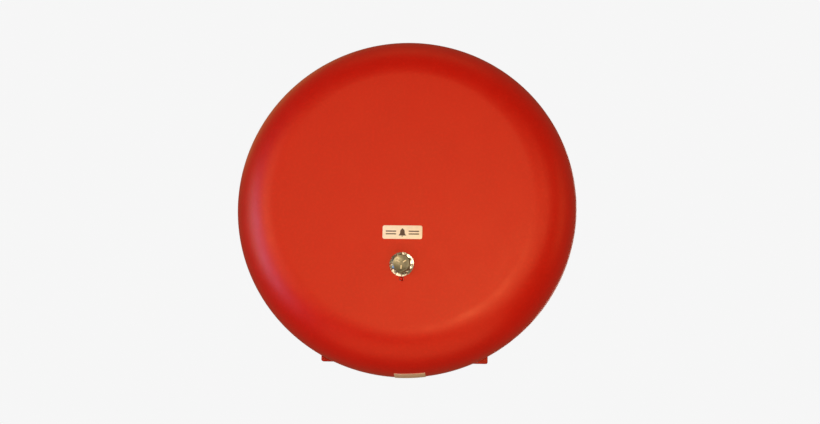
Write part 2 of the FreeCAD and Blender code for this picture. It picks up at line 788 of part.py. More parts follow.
POLES = (60, 180, 300)
CORE_BACK = "motor_front - 13.5"
CORE_FRONT = "motor_front - 3.5"


def make_armature():
    """Three-pole core with a winding in each slot."""
    core = cylinder("8.6", f"{CORE_FRONT} - ({CORE_BACK})", MOTOR_X, CORE_BACK, MOTOR_Z)
    spaces = [cylinder("shaft_radius", "20", MOTOR_X, "motor_back", MOTOR_Z)]
    bundles = []
    for angle in POLES:
        x, z = around_motor("5.4", angle)
        spaces.append(cylinder("2.5", "20", x, "motor_back", z))
        slot = doc.addObject("Part::Box", "SlotMouth")
        slot.Placement = Placement(Vector(), Rotation(Vector(0, -1, 0), angle))
        bind(slot, Length="5", Width="20", Height="1.2")
        spaces.append(place(slot, f"{x} + 0.6 * sin({angle})", "motor_back + 20",
                            f"{z} - 0.6 * cos({angle})"))
        bundles.append(cylinder("2.3", f"{CORE_FRONT} - ({CORE_BACK}) + 2", x, f"{CORE_BACK} - 1", z))
    keep(cut(core, joined(spaces)), "motor_armature")
    for back in (f"{CORE_BACK} - 1.2", f"{CORE_FRONT} + 0.1"):
        loop = cylinder("7.6", "1.1", MOTOR_X, back, MOTOR_Z)
        bundles.append(cut(loop, cylinder("3.6", "1.1", MOTOR_X, back, MOTOR_Z)))
    keep(joined(bundles), "armature_windings")


def make_commutator():
    back = "motor_back + cap_thick + 0.4"
    sleeve = cylinder("2.4", "2.6", MOTOR_X, back, MOTOR_Z)
    spaces = [cylinder("shaft_radius", "2.6", MOTOR_X, back, MOTOR_Z)]
    for angle in POLES:
        slit = doc.addObject("Part::Box", "Slit")
        slit.Placement = Placement(Vector(), Rotation(Vector(0, -1, 0), angle))
        bind(slit, Length="2", Width="2", Height="0.3")
        x, z = around_motor("1.7", angle)
        spaces.append(place(slit, f"{x} + 0.15 * sin({angle})", f"{back} + 2.3",
                            f"{z} - 0.15 * cos({angle})"))
    keep(cut(sleeve, joined(spaces)), "commutator")


def make_brushes():
    brushes = []
    back = "motor_back + cap_thick + 0.5"
    for near, far in (("2.5", "6.5"), ("-6.5", "-2.5")):
        brushes.append(block(f"{MOTOR_X} + {near}", f"{MOTOR_X} + {far}", back, f"{back} + 1.3",
                             f"{MOTOR_Z} - 1", f"{MOTOR_Z} + 1"))
    group("motor_brushes", brushes)


TERMINAL_ANGLES = (118, 152)
TERMINAL_REACH = 15.0


def make_motor_terminals():
    """Two tabs that leave the end cap towards the wire grommet."""
    tabs = []
    for angle in TERMINAL_ANGLES:
        tab = doc.addObject("Part::Box", "Tab")
        tab.Placement = Placement(Vector(), Rotation(Vector(0, -1, 0), angle))
        bind(tab, Length="4.5", Width="0.5", Height="2.4")
        x, z = around_motor("motor_radius", angle)
        tabs.append(place(tab, f"{x} + 1.2 * sin({angle})", "motor_back + 2.3",
                          f"{z} - 1.2 * cos({angle})"))
    group("motor_terminals", tabs)


def make_bracket():
    """Steel strap that holds the motor's front face down on its seat."""
    body = new_body("motor_bracket")
    sketch = new_sketch(body, offset="motor_front")
    draw_circle(sketch, "motor_radius + 0.5", MOTOR_X, MOTOR_Z)
    pad(body, sketch, "1.5")
    for x, z in BRACKET_SCREWS:
        ear = new_sketch(body, offset="motor_front")
        draw_circle(ear, "4.4", x, z)
        pad(body, ear, "1.5")
    holes = new_sketch(body, offset="motor_front + 1.5")
    draw_circle(holes, "4", MOTOR_X, MOTOR_Z)
    for x, z in BRACKET_SCREWS:
        draw_circle(holes, "1.6", x, z)
    pocket(body, holes, "2")


# ---------------------------------------------------------------- gears

def gear_blank(teeth, module):
    """Face with involute teeth, one of them centred on the +X axis."""
    pressure = math.radians(25)
    addendum, dedendum, backlash = module, 1.2 * module, 0.1 * module
    pitch = teeth * module / 2
    base, tip, root = pitch * math.cos(pressure), pitch + addendum, pitch - dedendum
    half_tooth = (math.pi * module / 2 - backlash) / 2 / pitch

    def half_angle(radius):
        roll = math.acos(base / radius)
        return half_tooth + (math.tan(pressure) - pressure) - (math.tan(roll) - roll)

    def point(radius, angle):
        return Vector(radius * math.cos(angle), radius * math.sin(angle), 0)

    start = max(base, root)
    steps = 4
    radii = [start + (tip - start) * step / steps for step in range(steps + 1)]
    edges = []
    for tooth in range(teeth):
        middle = 2 * math.pi * tooth / teeth
        rising = Part.BSplineCurve()
        rising.interpolate([point(radius, middle - half_angle(radius)) for radius in radii])
        falling = Part.BSplineCurve()
        falling.interpolate([point(radius, middle + half_angle(radius)) for radius in reversed(radii)])
        foot = half_angle(start)
        if root < base:
            edges.append(Part.LineSegment(point(root, middle - foot), point(base, middle - foot)))
        edges.append(rising)
        edges.append(Part.Arc(point(tip, middle - half_angle(tip)), point(tip, middle),
                              point(tip, middle + half_angle(tip))))
        edges.append(falling)
        if root < base:
            edges.append(Part.LineSegment(point(base, middle + foot), point(root, middle + foot)))
        gap = middle + math.pi / teeth
        following = middle + 2 * math.pi / teeth - foot
        edges.append(Part.Arc(point(root, middle + foot), point(root, gap), point(root, following)))
    return Part.Face(Part.Wire([edge.toShape() for edge in edges]))


def gear_prism(teeth, module, phase):
    prism = gear_blank(teeth, module).extrude(Vector(0, 0, size("gear_width")))
    prism.rotate(Vector(), Vector(0, 0, 1), phase)
    return prism


def make_gears():
    """Pinion and gear, turned so that a pinion tooth sits in a gear gap on the line of centres."""
    module, mesh, depth = size("gear_module"), size("mesh_angle"), size("gear_depth")
    teeth, few = int(size("gear_teeth")), int(size("pinion_teeth"))
    drop, centres = size("gear_drop"), module * (teeth + few) / 2
    wheel = gear_prism(teeth, module, mesh - 180 / teeth)
    hub_length = depth - size("striker_depth") + size("cam_width") / 2 + 1
    hub = Part.makeCylinder(size("cam_hub"), hub_length, Vector(0, 0, -hub_length))
    boss = Part.makeCylinder(size("cam_hub") + 2, 2, Vector(0, 0, -0.3))
    bore_radius = size("axle_radius") + size("running_gap")
    bores = [Part.makeCylinder(bore_radius, hub_length + 10, Vector(0, 0, -hub_length - 1))]
    for spoke in range(6):
        angle = math.radians(60 * spoke)
        centre = Vector(11.5 * math.cos(angle), 11.5 * math.sin(angle), -1)
        bores.append(Part.makeCylinder(3.6, 8, centre))
    wheel = wheel.fuse([hub, boss]).cut(bores)
    shaped("drive_gear", wheel, outward_at(0, depth, -drop))
    pinion = gear_prism(few, module, mesh + 180)
    pinion = pinion.cut(Part.makeCylinder(size("shaft_radius"), 10, Vector(0, 0, -1)))
    angle = math.radians(mesh)
    across, rise = centres * math.cos(angle), centres * math.sin(angle) - drop
    shaped("pinion_gear", pinion, outward_at(across, depth, rise))


def make_gear_train():
    make_gears()
    back = "striker_depth - cam_width / 2"
    cam = new_body("eccentric_cam")
    sketch = new_sketch(cam, offset=back)
    draw_circle(sketch, "cam_radius", y="cam_throw")
    draw_circle(sketch, "cam_hub")
    pad(cam, sketch, "cam_width")
    place(cam, z="-gear_drop")
    axle_front = "gear_depth + gear_width + 2"
    turned("gear_axle", [
        ("0", f"{BASE_FRONT} - 2"), ("axle_radius", f"{BASE_FRONT} - 2"),
        ("axle_radius", f"{axle_front} - 0.3"),
        ("axle_radius - 0.3", axle_front), ("0", axle_front),
    ], z="-gear_drop")
    ring("axle_clip", "3.3", "axle_radius", "gear_depth + gear_width + 0.3",
         "gear_depth + gear_width + 1.1", z="-gear_drop")
    turned("motor_shaft", [
        ("0", "motor_back + 0.3"), ("shaft_radius", "motor_back + 0.3"),
        ("shaft_radius", "gear_depth + gear_width"),
        ("0", "gear_depth + gear_width"),
    ], MOTOR_X, MOTOR_Z)


# ---------------------------------------------------------------- striker

def make_striker():
    turned_upright("striker_rod", [
        ("0", "-tip_top"), ("rod_radius", "-tip_top"), ("rod_radius", "-striker_top - 0.6"),
        ("rod_radius - 0.6", "-striker_top"), ("0", "-striker_top"),
    ])
    turned_upright("striker_tip", [
        ("0", "-tip_bottom"), ("tip_radius * 0.55", "-tip_bottom"),
        ("tip_radius * 0.9", "-tip_bottom + 1.1"), ("tip_radius", "-tip_bottom + 2.4"),
        ("tip_radius", "-tip_top + 0.9"), ("tip_radius - 0.9", "-tip_top + 1.8"),
        ("rod_radius", "-tip_top + 1.8"), ("rod_radius", "-tip_top"), ("0", "-tip_top"),
    ])
    turned_upright("spring_collar", [
        ("rod_radius", "-collar_top - collar_thick"), ("tip_radius", "-collar_top - collar_thick"),
        ("tip_radius", "-collar_top"), ("rod_radius", "-collar_top"),
    ])
    turned_upright("striker_bush", [
        ("rod_radius + running_gap", "-bush_bottom"), ("bush_radius", "-bush_bottom"),
        ("bush_radius", "-bush_top"), ("rod_radius + running_gap", "-bush_top"),
    ])


def make_return_spring():
    wire, radius = size("spring_wire"), size("spring_radius")
    low = -size("bush_top") + wire + 0.05
    high = -size("collar_top") - size("collar_thick") - wire - 0.05
    turns = 4.5
    coil = Part.makeHelix((high - low) / turns, high - low, radius)
    section = Part.Wire(Part.makeCircle(wire, Vector(radius, 0, 0), Vector(0, 1, 0)))
    spring = Part.Wire(coil.Edges).makePipeShell([section], True, True)
    shaped("return_spring", spring, Placement(Vector(0, -size("striker_depth"), low), Rotation()))


# ---------------------------------------------------------------- wiring

def make_board():
    body = new_body("circuit_board")
    sketch = new_sketch(body, offset="board_back")
    draw_rectangle(sketch, "-board_half", "board_half", "-board_bottom", "board_top")
    for x, z in BOARD_SCREWS:
        draw_circle(sketch, "board_hole", x, z)
    pad(body, sketch, "board_thick")
    standoffs = []
    back = "board_back + board_thick"
    for x, z in BOARD_SCREWS:
        bar = cylinder("standoff_radius", f"{PLATE_BACK} - ({back})", x, back, z)
        standoffs.append(cut(bar, cylinder("board_hole", f"{PLATE_BACK} - ({back})", x, back, z)))
    group("board_standoffs", standoffs)


TERMINAL_XS = ("-15", "-5", "5", "15")
BLOCK_BACK = "board_back - block_height"


def make_terminal_block():
    """Four-way block: wires go in from below, screws face the wall side."""
    body = new_body("terminal_block")
    sketch = new_sketch(body, offset=BLOCK_BACK)
    draw_rectangle(sketch, "-20.5", "20.5", "-4", "9")
    pad(body, sketch, "block_height")
    wells = new_sketch(body, offset=BLOCK_BACK)
    for x in TERMINAL_XS:
        draw_circle(wells, "2.6", x, "terminal_rise")
    pocket(body, wells, "4.5", outward=True)
    entries = new_sketch(body, "XY_Plane", offset="-5")
    for x in TERMINAL_XS:
        draw_rectangle(entries, f"{x} - 1.7", f"{x} + 1.7", "-board_back + 1.4", "-board_back + 4.8")
    pocket(body, entries, "9", outward=True)
    group("terminal_screws", [slotted_screw(x) for x in TERMINAL_XS])


def slotted_screw(x):
    head = cylinder("2.5", "2.4", x, f"{BLOCK_BACK} + 2", "terminal_rise")
    slot = block(f"{x} - 3", f"{x} + 3", f"{BLOCK_BACK} + 1.5", f"{BLOCK_BACK} + 2.9",
                 "terminal_rise - 0.4", "terminal_rise + 0.4")
    return cut(head, slot)


def make_board_parts():
    case = cylinder("1.4", "5.2", "-27.6", "board_back - 1.9", "0", along="x")
    wire = cylinder("0.4", "9", "-29.5", "board_back - 1.9", "0", along="x")
    legs = [cylinder("0.35", "1.9", x, "board_back - 1.9", "0") for x in ("-29", "-21")]
    keep(joined([case, wire] + legs), "blocking_diode")
    body = new_body("suppression_capacitor")
    sketch = new_sketch(body, offset="board_back - 7")
    draw_rectangle(sketch, "-6", "6", "12.5", "18.5")
    pad(body, sketch, "7")
    fillet(body, "0.8", depth_edge)


def make_grommet():
    """Rubber ring in the plate and casting, flanged on both sides."""
    front = f"{BASE_FRONT} + 1.2"
    back = f"{PLATE_BACK} - 1.2"
    turned("wire_grommet", [
        ("2.6", back), ("5.8", back), ("5.8", PLATE_BACK), ("4.5", PLATE_BACK),
        ("4.5", BASE_FRONT), ("5.8", BASE_FRONT), ("5.8", front), ("2.6", front),
    ], "-grommet_x", "grommet_z")


def make_leads():
    """Two leads from the board, through the grommet, over and down on to the motor's terminals."""
    centres = size("gear_module") * (size("gear_teeth") + size("pinion_teeth")) / 2
    mesh = math.radians(size("mesh_angle"))
    motor = Vector(centres * math.cos(mesh), 0, centres * math.sin(mesh) - size("gear_drop"))
    pad_depth = size("board_back") + size("board_thick")
    tab_depth = size("motor_back") + 2.3
    top, bend = 60.0, 3.0
    for label, angle, side in (("lead_positive", TERMINAL_ANGLES[0], 1),
                               ("lead_negative", TERMINAL_ANGLES[1], -1)):
        turn = math.radians(angle)
        start = Vector(-size("grommet_x") + side * size("lead_spread"), -pad_depth, size("grommet_z"))
        end = motor + Vector(TERMINAL_REACH * math.cos(turn), -tab_depth, TERMINAL_REACH * math.sin(turn))
        shaped(label, tube(arch(start, end, top, bend), size("lead_radius"), start, Vector(0, -1, 0)))


def arch(start, end, top, bend):
    """Line and arc edges: out from the wall, across at a depth, and back down."""
    out = Vector(0, -1, 0)
    across = Vector(end.x - start.x, 0, end.z - start.z).normalize()
    first, second = Vector(start.x, -top, start.z), Vector(end.x, -top, end.z)
    ease = bend * (1 - math.sqrt(0.5))
    rise_end, run_start = first - out * bend, first + across * bend
    run_end, fall_start = second - across * bend, second - out * bend
    return [edge.toShape() for edge in (
        Part.LineSegment(start, rise_end),
        Part.Arc(rise_end, first - out * ease + across * ease, run_start),
        Part.LineSegment(run_start, run_end),
        Part.Arc(run_end, second - out * ease - across * ease, fall_start),
        Part.LineSegment(fall_start, end),
    )]


# ---------------------------------------------------------------- fasteners

def make_screws():
    half = "lid_screw_pitch / 2"
    screws("plate_screws", four_corners(half, half, f"-{half}"), PLATE_FRONT, "1.7", "14", "3.8")
    screws("frame_screws", FRAME_SCREWS, PLATE_BACK, "1.45", "plate_thick + base_thick - 0.2", "3",
           outward=False)
    screws("cover_screws", COVER_SCREWS, f"{PLATE_FRONT} + cover_wall", "1.45",
           "plate_thick + cover_wall", "2.7")
    screws("bracket_screws", BRACKET_SCREWS, "motor_front + 1.5", "1.25", "8", "2.5")
    screws("board_screws", BOARD_SCREWS, "board_back", "1.25", f"{PLATE_FRONT} - 0.2 - board_back", "2.5",
           outward=False)
    screws("ground_screw", [("ground_x", "ground_z")], "box_back + ground_boss_height + 0.2", "1.7",
           "4.5", "4")


# ---------------------------------------------------------------- assembly

def check_and_export():
    doc.recompute()
    for obj in doc.Objects:
        if {"Invalid", "Error"} & set(obj.State):
            raise RuntimeError(f"{obj.Label} ({obj.Name}) failed: {obj.State}")
    for part in subparts:
        if part.Shape.isNull() or not part.Shape.isValid() or not part.Shape.Solids:
            raise RuntimeError(f"{part.Label} has no valid solid")
    os.makedirs("parts", exist_ok=True)
    for part in subparts:
        part.Shape.exportStep(f"parts/{part.Label}.step")
        print(f"{part.Label}: {len(part.Shape.Solids)} solid(s), {part.Shape.Volume:.1f} mm3")


make_gong()
make_isolating_washer()
make_lock_washer()
make_bolt()
make_locating_pin()
make_name_label()
make_rim_label()
make_box_rear()
make_box_walls()
make_box_bosses()
make_gasket()
make_plate()
make_plug()
make_frame()
make_cover()
make_motor_case()
make_motor_magnets()
make_armature()
make_commutator()
make_brushes()
make_motor_terminals()
make_bracket()
make_gear_train()
make_striker()
make_return_spring()
make_board()
make_terminal_block()
make_board_parts()
make_grommet()
make_leads()
make_screws()
check_and_export()
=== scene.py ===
import json
import math

import bmesh
import bpy
from mathutils import Matrix, Vector


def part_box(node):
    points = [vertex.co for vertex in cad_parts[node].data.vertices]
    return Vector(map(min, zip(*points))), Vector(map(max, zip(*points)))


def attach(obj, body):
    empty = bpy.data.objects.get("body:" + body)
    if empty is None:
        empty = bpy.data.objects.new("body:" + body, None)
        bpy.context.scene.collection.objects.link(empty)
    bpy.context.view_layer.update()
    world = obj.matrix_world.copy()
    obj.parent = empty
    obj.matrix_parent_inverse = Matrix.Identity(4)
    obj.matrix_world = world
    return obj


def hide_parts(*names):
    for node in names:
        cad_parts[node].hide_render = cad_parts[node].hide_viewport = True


# Looks for a red 10 inch fire alarm bell. The gong, its fastening and its labels are rebuilt as fine
# meshes in the places of their CAD nodes; everything else keeps its CAD shape and gets a material.
# All lengths are in metres. "Depth" is the distance out from the wall, which is -Y.

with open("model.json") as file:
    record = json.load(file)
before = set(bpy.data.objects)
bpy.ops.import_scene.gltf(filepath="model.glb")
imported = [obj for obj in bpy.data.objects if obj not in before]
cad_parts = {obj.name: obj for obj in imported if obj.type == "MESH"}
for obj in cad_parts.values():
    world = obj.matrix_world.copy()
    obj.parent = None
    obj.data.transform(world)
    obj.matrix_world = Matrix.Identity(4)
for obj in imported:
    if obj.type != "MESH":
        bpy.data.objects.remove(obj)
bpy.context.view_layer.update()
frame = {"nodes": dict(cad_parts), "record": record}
MM = 0.001

GONG_LOW, GONG_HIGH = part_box("gong")
GONG_RADIUS = (GONG_HIGH.x - GONG_LOW.x) / 2
GONG_CENTRE = (GONG_LOW + GONG_HIGH) / 2
FACE_DEPTH, RIM_DEPTH = -GONG_LOW.y, -GONG_HIGH.y
GONG_WALL = 1.8 * MM
SHOULDER = 34 * MM
BOLT_HOLE = 4.4 * MM
PIN_HOLE = 1.6 * MM
WASHER_HOLE = 4.3 * MM
SHANK_RADIUS = 3.9 * MM


# ---------------------------------------------------------------- shader helpers

class Surface:
    """A Principled material whose detail comes from procedural textures in object space."""

    def __init__(self, name, colour, roughness, metallic=0.0, **constants):
        self.material = bpy.data.materials.new(name)
        self.material.use_nodes = True
        self.tree = self.material.node_tree
        self.shader = self.tree.nodes["Principled BSDF"]
        self.colour = colour
        self.roughness = roughness
        self.material.diffuse_color = (*colour, 1)
        self.shader.inputs["Base Color"].default_value = (*colour, 1)
        self.shader.inputs["Roughness"].default_value = roughness
        self.shader.inputs["Metallic"].default_value = metallic
        for socket, value in constants.items():
            self.shader.inputs[socket.replace("_", " ")].default_value = value
        self.place = self.node("ShaderNodeTexCoord").outputs["Object"]

    def node(self, kind, **settings):
        made = self.tree.nodes.new(kind)
        for name, value in settings.items():
            setattr(made, name, value)
        return made

    def link(self, output, socket):
        self.tree.links.new(output, socket)

    def stretched(self, scale):
        mapping = self.node("ShaderNodeMapping")
        mapping.inputs["Scale"].default_value = scale
        self.link(self.place, mapping.inputs["Vector"])
        return mapping.outputs["Vector"]

    def noise(self, size, detail=3.0, sharp=0.5, stretch=None):
        """Noise whose features are about size across; stretch divides that size per axis."""
        made = self.node("ShaderNodeTexNoise")
        made.inputs["Scale"].default_value = 1 / size
        made.inputs["Detail"].default_value = detail
        made.inputs["Roughness"].default_value = sharp
        self.link(self.stretched(stretch) if stretch else self.place, made.inputs["Vector"])
        return made.outputs["Fac"]

    def bands(self, pitch, axis="Y", wobble=0.0):
        """Ridges of the given pitch across an axis."""
        made = self.node("ShaderNodeTexWave", wave_profile="SIN", bands_direction=axis)
        made.inputs["Scale"].default_value = math.pi / 10 / pitch
        made.inputs["Distortion"].default_value = wobble
        self.link(self.place, made.inputs["Vector"])
        return made.outputs["Fac"]

    def cells(self, size, feature="F1"):
        made = self.node("ShaderNodeTexVoronoi", feature=feature)
        made.inputs["Scale"].default_value = 1 / size
        self.link(self.place, made.inputs["Vector"])
        return made.outputs["Distance"]

    def spread(self, fac, low, high, start=0.3, end=0.7):
        """Map a texture's usual range on to two numbers."""
        made = self.node("ShaderNodeMapRange")
        for socket, value in zip(("From Min", "From Max", "To Min", "To Max"), (start, end, low, high)):
            made.inputs[socket].default_value = value
        self.link(fac, made.inputs["Value"])
        return made.outputs["Result"]

    def tint(self, fac, other, start=0.35, end=0.65):
        """Blend from the colour so far towards another where the texture is high."""
        ramp = self.node("ShaderNodeMapRange")
        ramp.inputs["From Min"].default_value = start
        ramp.inputs["From Max"].default_value = end
        self.link(fac, ramp.inputs["Value"])
        mix = self.node("ShaderNodeMix", data_type="RGBA")
        socket = self.shader.inputs["Base Color"]
        if socket.is_linked:
            self.link(socket.links[0].from_socket, mix.inputs["A"])
        else:
            mix.inputs["A"].default_value = (*self.colour, 1)
        mix.inputs["B"].default_value = (*other, 1)
        self.link(ramp.outputs["Result"], mix.inputs["Factor"])
        self.link(mix.outputs["Result"], socket)
        return self

    def shade(self, fac, amount):
        """Darken and lighten the base colour a little with a texture."""
        darker = tuple(channel * (1 - amount) for channel in self.colour)
        return self.tint(fac, darker, 0.3, 0.7)

    def gloss(self, fac, amount):
        low, high = self.roughness - amount, self.roughness + amount
        self.link(self.spread(fac, low, high), self.shader.inputs["Roughness"])
        return self

    def relief(self, fac, depth, strength=1.0):
        """Bump of about the given depth, on top of any bump already there."""
        bump = self.node("ShaderNodeBump")
        bump.inputs["Strength"].default_value = strength
        bump.inputs["Distance"].default_value = depth
        self.link(fac, bump.inputs["Height"])
        socket = self.shader.inputs["Normal"]
        if socket.is_linked:
            self.link(socket.links[0].from_socket, bump.inputs["Normal"])
        self.link(bump.outputs["Normal"], socket)
        return self


# ---------------------------------------------------------------- materials

ENAMEL_GLEAM = (1.0, 0.403, 0.216, 1.0)


def red_enamel():
    """Sprayed satin enamel with a fine orange peel."""
    skin = Surface("red_enamel", (0.515, 0.0016, 0.0005), 0.40, IOR=1.73, Specular_Tint=ENAMEL_GLEAM)
    skin.shade(skin.noise(28 * MM, 4), 0.05)
    skin.tint(skin.noise(2.2 * MM, 2), (0.545, 0.0024, 0.0007), 0.45, 0.75)
    skin.gloss(skin.noise(9 * MM, 5), 0.035)
    skin.relief(skin.noise(1.9 * MM, 2, 0.45), 0.05 * MM, 0.7)
    return skin.relief(skin.noise(0.7 * MM, 2), 0.012 * MM, 0.6).material


def box_enamel():
    """The same red over a coarser casting."""
    skin = Surface("box_enamel", (0.45, 0.0016, 0.0005), 0.46, IOR=1.6, Specular_Tint=ENAMEL_GLEAM)
    skin.shade(skin.noise(22 * MM, 5), 0.12)
    skin.gloss(skin.noise(7 * MM, 5), 0.05)
    skin.relief(skin.noise(2.4 * MM, 3), 0.12 * MM, 0.7)
    return skin.relief(skin.cells(1.1 * MM), 0.04 * MM, 0.5).material


def plated(name, colour, roughness=0.24):
    """Zinc or nickel plate, clouded, with fine rolling lines."""
    metal = Surface(name, colour, roughness, 1.0)
    metal.shade(metal.noise(3 * MM, 4), 0.22)
    metal.gloss(metal.noise(1.6 * MM, 5), 0.09)
    metal.relief(metal.noise(0.5 * MM, 3, 0.6, (1, 1, 6)), 0.01 * MM, 0.6)
    return metal.relief(metal.noise(2 * MM, 2), 0.02 * MM, 0.4).material


def cast_metal():
    metal = Surface("cast_aluminium", (0.52, 0.52, 0.53), 0.48, 1.0)
    metal.shade(metal.noise(6 * MM, 5), 0.25)
    metal.gloss(metal.noise(2 * MM, 4), 0.1)
    metal.relief(metal.cells(0.9 * MM), 0.05 * MM, 0.7)
    return metal.relief(metal.noise(4 * MM, 3), 0.08 * MM, 0.5).material


def sintered(name, colour):
    metal = Surface(name, colour, 0.42, 1.0)
    metal.shade(metal.noise(1.2 * MM, 4), 0.3)
    return metal.relief(metal.cells(0.35 * MM), 0.02 * MM, 0.7).material


def moulded(name, colour, roughness=0.5, grain=0.55, depth=0.03):
    """Moulded plastic with a spark-eroded grain."""
    skin = Surface(name, colour, roughness)
    skin.shade(skin.noise(12 * MM, 4), 0.18)
    skin.gloss(skin.noise(5 * MM, 4), 0.06)
    skin.relief(skin.cells(grain * MM), depth * MM, 0.7)
    return skin.relief(skin.noise(9 * MM, 2), 0.08 * MM, 0.3).material


def rubber(name):
    skin = Surface(name, (0.018, 0.018, 0.019), 0.72)
    skin.tint(skin.noise(6 * MM, 5), (0.03, 0.029, 0.028))
    skin.gloss(skin.noise(3 * MM, 4), 0.08)
    return skin.relief(skin.noise(0.6 * MM, 4, 0.6), 0.03 * MM, 0.8).material


def fibre():
    skin = Surface("fibre", (0.22, 0.06, 0.03), 0.6)
    skin.shade(skin.noise(1.5 * MM, 5, 0.6, (1, 1, 5)), 0.3)
    return skin.relief(skin.noise(0.5 * MM, 4), 0.03 * MM, 0.7).material


def ferrite():
    skin = Surface("magnet", (0.055, 0.055, 0.06), 0.5)
    skin.shade(skin.noise(1 * MM, 5), 0.4)
    return skin.relief(skin.noise(0.4 * MM, 4), 0.02 * MM, 0.8).material


def laminated():
    metal = Surface("core_steel", (0.26, 0.26, 0.27), 0.4, 1.0)
    metal.tint(metal.bands(0.5 * MM), (0.1, 0.1, 0.11), 0.55, 0.9)
    return metal.relief(metal.bands(0.5 * MM), 0.06 * MM, 0.9).material


def wound_copper():
    wire = Surface("copper", (0.62, 0.19, 0.07), 0.3, 1.0)
    # The darker bands at the pitch of the turns are painted shade between the wires.
    wire.tint(wire.bands(0.3 * MM, "X"), (0.25, 0.06, 0.02), 0.1, 0.6)
    return wire.relief(wire.bands(0.3 * MM, "X", 1.0), 0.08 * MM, 0.9).material


def circuit_green():
    """Solder mask over copper tracks."""
    board = Surface("board_green", (0.012, 0.11, 0.04), 0.34)
    board.tint(board.cells(3.2 * MM, "DISTANCE_TO_EDGE"), (0.02, 0.17, 0.06), 0.1, 0.14)
    board.gloss(board.noise(4 * MM, 3), 0.05)
    return board.relief(board.cells(3.2 * MM, "DISTANCE_TO_EDGE"), 0.03 * MM, 0.6).material


def insulated(name, colour):
    wire = Surface(name, colour, 0.4)
    wire.shade(wire.noise(2 * MM, 3), 0.2)
    return wire.relief(wire.noise(0.8 * MM, 3), 0.02 * MM, 0.6).material


def label_stock(name, colour):
    """Coated label stock with faint mottling."""
    paper = Surface(name, colour, 0.42)
    paper.tint(paper.noise(2.5 * MM, 5), tuple(channel * 0.93 for channel in colour))
    paper.gloss(paper.noise(1.5 * MM, 3), 0.05)
    return paper.relief(paper.noise(0.6 * MM, 4), 0.008 * MM, 0.7).material


def ink():
    print_ = Surface("label_ink", (0.075, 0.035, 0.02), 0.5)
    print_.tint(print_.noise(0.4 * MM, 4), (0.14, 0.07, 0.04), 0.5, 0.8)
    return print_.relief(print_.noise(0.3 * MM, 3), 0.004 * MM, 0.7).material


MATERIALS = {
    "red_enamel": red_enamel(),
    "box_enamel": box_enamel(),
    "zinc_steel": plated("zinc_steel", (0.62, 0.59, 0.54)),
    "bolt_steel": plated("bolt_steel", (0.22, 0.2, 0.145), 0.36),
    # The grade lines get a much lighter copy of the bolt's steel: a painted highlight on the raised marks.
    "grade_steel_highlight": plated("grade_steel_highlight", (0.8, 0.68, 0.48), 0.5),
    "motor_steel": plated("motor_steel", (0.58, 0.58, 0.57), 0.28),
    "cast_aluminium": cast_metal(),
    "cover_plastic": moulded("cover_plastic", (0.022, 0.022, 0.024), 0.52),
    "cream_label": label_stock("cream_label", (0.95, 0.77, 0.56)),
    # The rim label's darker tan is painted shade; the label is the same cream stock as the name plate.
    "shaded_label": label_stock("shaded_label", (0.7, 0.48, 0.33)),
    "label_ink": ink(),
    "black_rubber": rubber("black_rubber"),
    "fibre": fibre(),
    "magnet": ferrite(),
    "core_steel": laminated(),
    "copper": wound_copper(),
    "bronze": sintered("bronze", (0.5, 0.28, 0.12)),
    "brass": plated("brass", (0.72, 0.5, 0.2), 0.3),
    "white_nylon": moulded("white_nylon", (0.74, 0.72, 0.65), 0.42, 0.8),
    "black_nylon": moulded("black_nylon", (0.02, 0.02, 0.02), 0.45, 0.7),
    "board_green": circuit_green(),
    "terminal_green": moulded("terminal_green", (0.02, 0.22, 0.08), 0.38, 0.7, 0.015),
    "capacitor_yellow": moulded("capacitor_yellow", (0.62, 0.3, 0.02), 0.32, 1.0, 0.012),
    "lead_red": insulated("lead_red", (0.5, 0.012, 0.012)),
    "lead_black": insulated("lead_black", (0.012, 0.012, 0.012)),
    "ground_green": plated("ground_green", (0.05, 0.4, 0.12), 0.3),
}


def paint(obj, material):
    obj.data.materials.clear()
    obj.data.materials.append(MATERIALS[material])


def dress_cad_nodes():
    """Each CAD node gets its slot's material; the box and plate are coarser, and the rim label gets a
    darker copy of the label stock as painted shade.
    """
    special = {"mounting_plate": "box_enamel", "rim_label": "shaded_label"}
    for row in frame["record"]["subparts"]:
        name = row["node"]
        usual = "box_enamel" if name.startswith("backbox") else row["material_slot"]
        paint(frame["nodes"][name], special.get(name, usual))


# ---------------------------------------------------------------- mesh helpers

def finished(name, mesh, material, body, *replaced, slot):
    """Turn a bmesh into a smooth piece that rides on a body."""
    data = bpy.data.meshes.new(name)
    bmesh.ops.recalc_face_normals(mesh, faces=mesh.faces)
    mesh.to_mesh(data)
    mesh.free()
    piece = bpy.data.objects.new(name, data)
    bpy.context.scene.collection.objects.link(piece)
    paint(piece, material)
    smooth_by_angle(piece)
    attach(piece, body)
    if replaced:
        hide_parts(*replaced)
    return piece


def smooth_by_angle(obj, angle=math.radians(32)):
    """Shade smooth, with sharp edges where faces meet at more than the angle."""
    mesh = bmesh.new()
    mesh.from_mesh(obj.data)
    for face in mesh.faces:
        face.smooth = True
    for edge in mesh.edges:
        edge.smooth = len(edge.link_faces) == 2 and edge.calc_face_angle(0) < angle
    mesh.to_mesh(obj.data)
    mesh.free()


def lathe(profile, x, z, segments=192, closed=True):
    """A bmesh turned about the depth axis through (x, z). The profile lists (radius, depth)."""
    mesh = bmesh.new()
    rings = []
    for radius, depth in profile:
        if radius < 1e-7:
            rings.append([mesh.verts.new((x, -depth, z))])
            continue
        turns = (2 * math.pi * i / segments for i in range(segments))
        rings.append([
            mesh.verts.new((x + radius * math.cos(turn), -depth, z + radius * math.sin(turn)))
            for turn in turns
        ])
    pairs = list(zip(rings, rings[1:]))
    if closed:
        pairs.append((rings[-1], rings[0]))
    for first, second in pairs:
        bridge(mesh, first, second)
    return mesh


